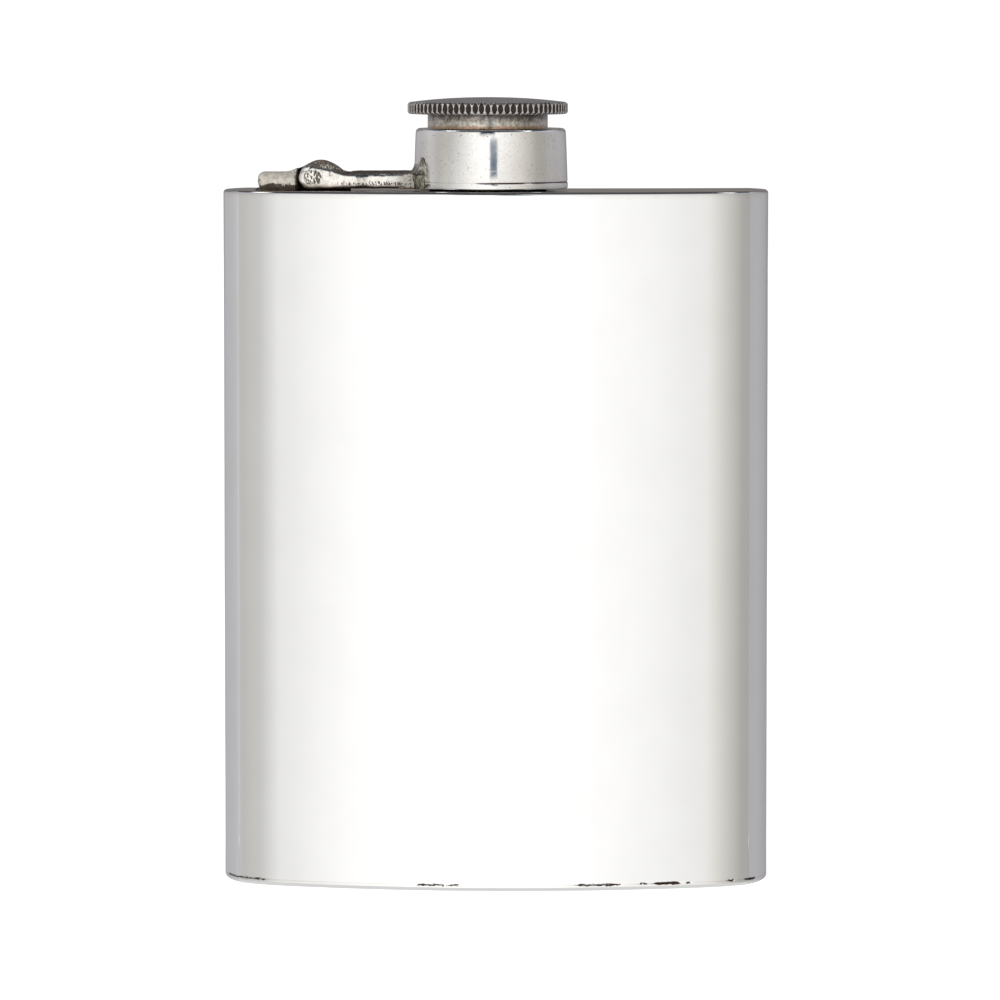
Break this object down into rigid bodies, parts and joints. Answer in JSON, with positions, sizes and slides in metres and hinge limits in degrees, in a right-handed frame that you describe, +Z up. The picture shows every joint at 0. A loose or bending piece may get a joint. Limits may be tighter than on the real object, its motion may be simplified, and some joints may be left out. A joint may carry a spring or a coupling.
{
  "type": "hip flask",
  "caption": "Kidney-shaped pewter hip flask with a knurled screw cap held captive in a collar on a hinged arm.",
  "frame": {"origin": "centre of the flask's box, on the face that it stands on", "axes": "+Z up, towards the cap; -Y is the bulging front; +X is the front's right, away from the hinge"},
  "size_m": [0.09, 0.03, 0.1294],
  "materials": {
    "polished_pewter": "hand polished, faint scratches",
    "collar_pewter": "polished, fine casting pits",
    "turned_pewter": "turned",
    "cast_pewter": "rough cast, part polished, brown patina in the hollows",
    "solder": "dull, pitted",
    "dark_solder": "tarnished",
    "pin_metal": "peened",
    "spring_wire": "drawn",
    "cap_metal": "dull nickel grey, dark in the knurling",
    "shank_metal": "dull, mottled",
    "liner": "matt"
  },
  "bodies": {
    "body": {"front_panel": "polished_pewter", "back_panel": "polished_pewter", "top_plate": "polished_pewter", "base_plate": "polished_pewter", "base_solder": "solder", "side_solder": "solder", "top_solder": "solder", "neck": "turned_pewter", "neck_solder": "solder", "hinge_base": "cast_pewter", "hinge_solder": "dark_solder"},
    "arm": {"captive_arm": "cast_pewter", "hinge_pin": "pin_metal", "collar": "collar_pewter", "collar_ring": "collar_pewter", "arm_solder": "solder"},
    "cap_carrier": {"retaining_ring": "spring_wire"},
    "cap": {"cap_head": "cap_metal", "cap_shell": "shank_metal", "cap_liner": "liner"}
  },
  "joints": [
    {"name": "arm_hinge", "type": "hinge", "parent": "body", "child": "arm", "pos_m": [-0.03, -0.00185, 0.11635], "axis": [0, -1, 0], "range_deg": [0, 120]},
    {"name": "cap_rise", "type": "slide", "parent": "arm", "child": "cap_carrier", "axis": [0, 0, 1], "range_m": [-0.00211, 0]},
    {"name": "cap_turn", "type": "hinge", "parent": "cap_carrier", "child": "cap", "pos_m": [-0.00105, -0.00185, 0.1245], "axis": [0, 0, 1], "range_deg": [-252, 0]}
  ],
  "couplings": [
    {"joint": "cap_rise", "follows": "cap_turn", "m_per_rad": 0.00047746}
  ]
}
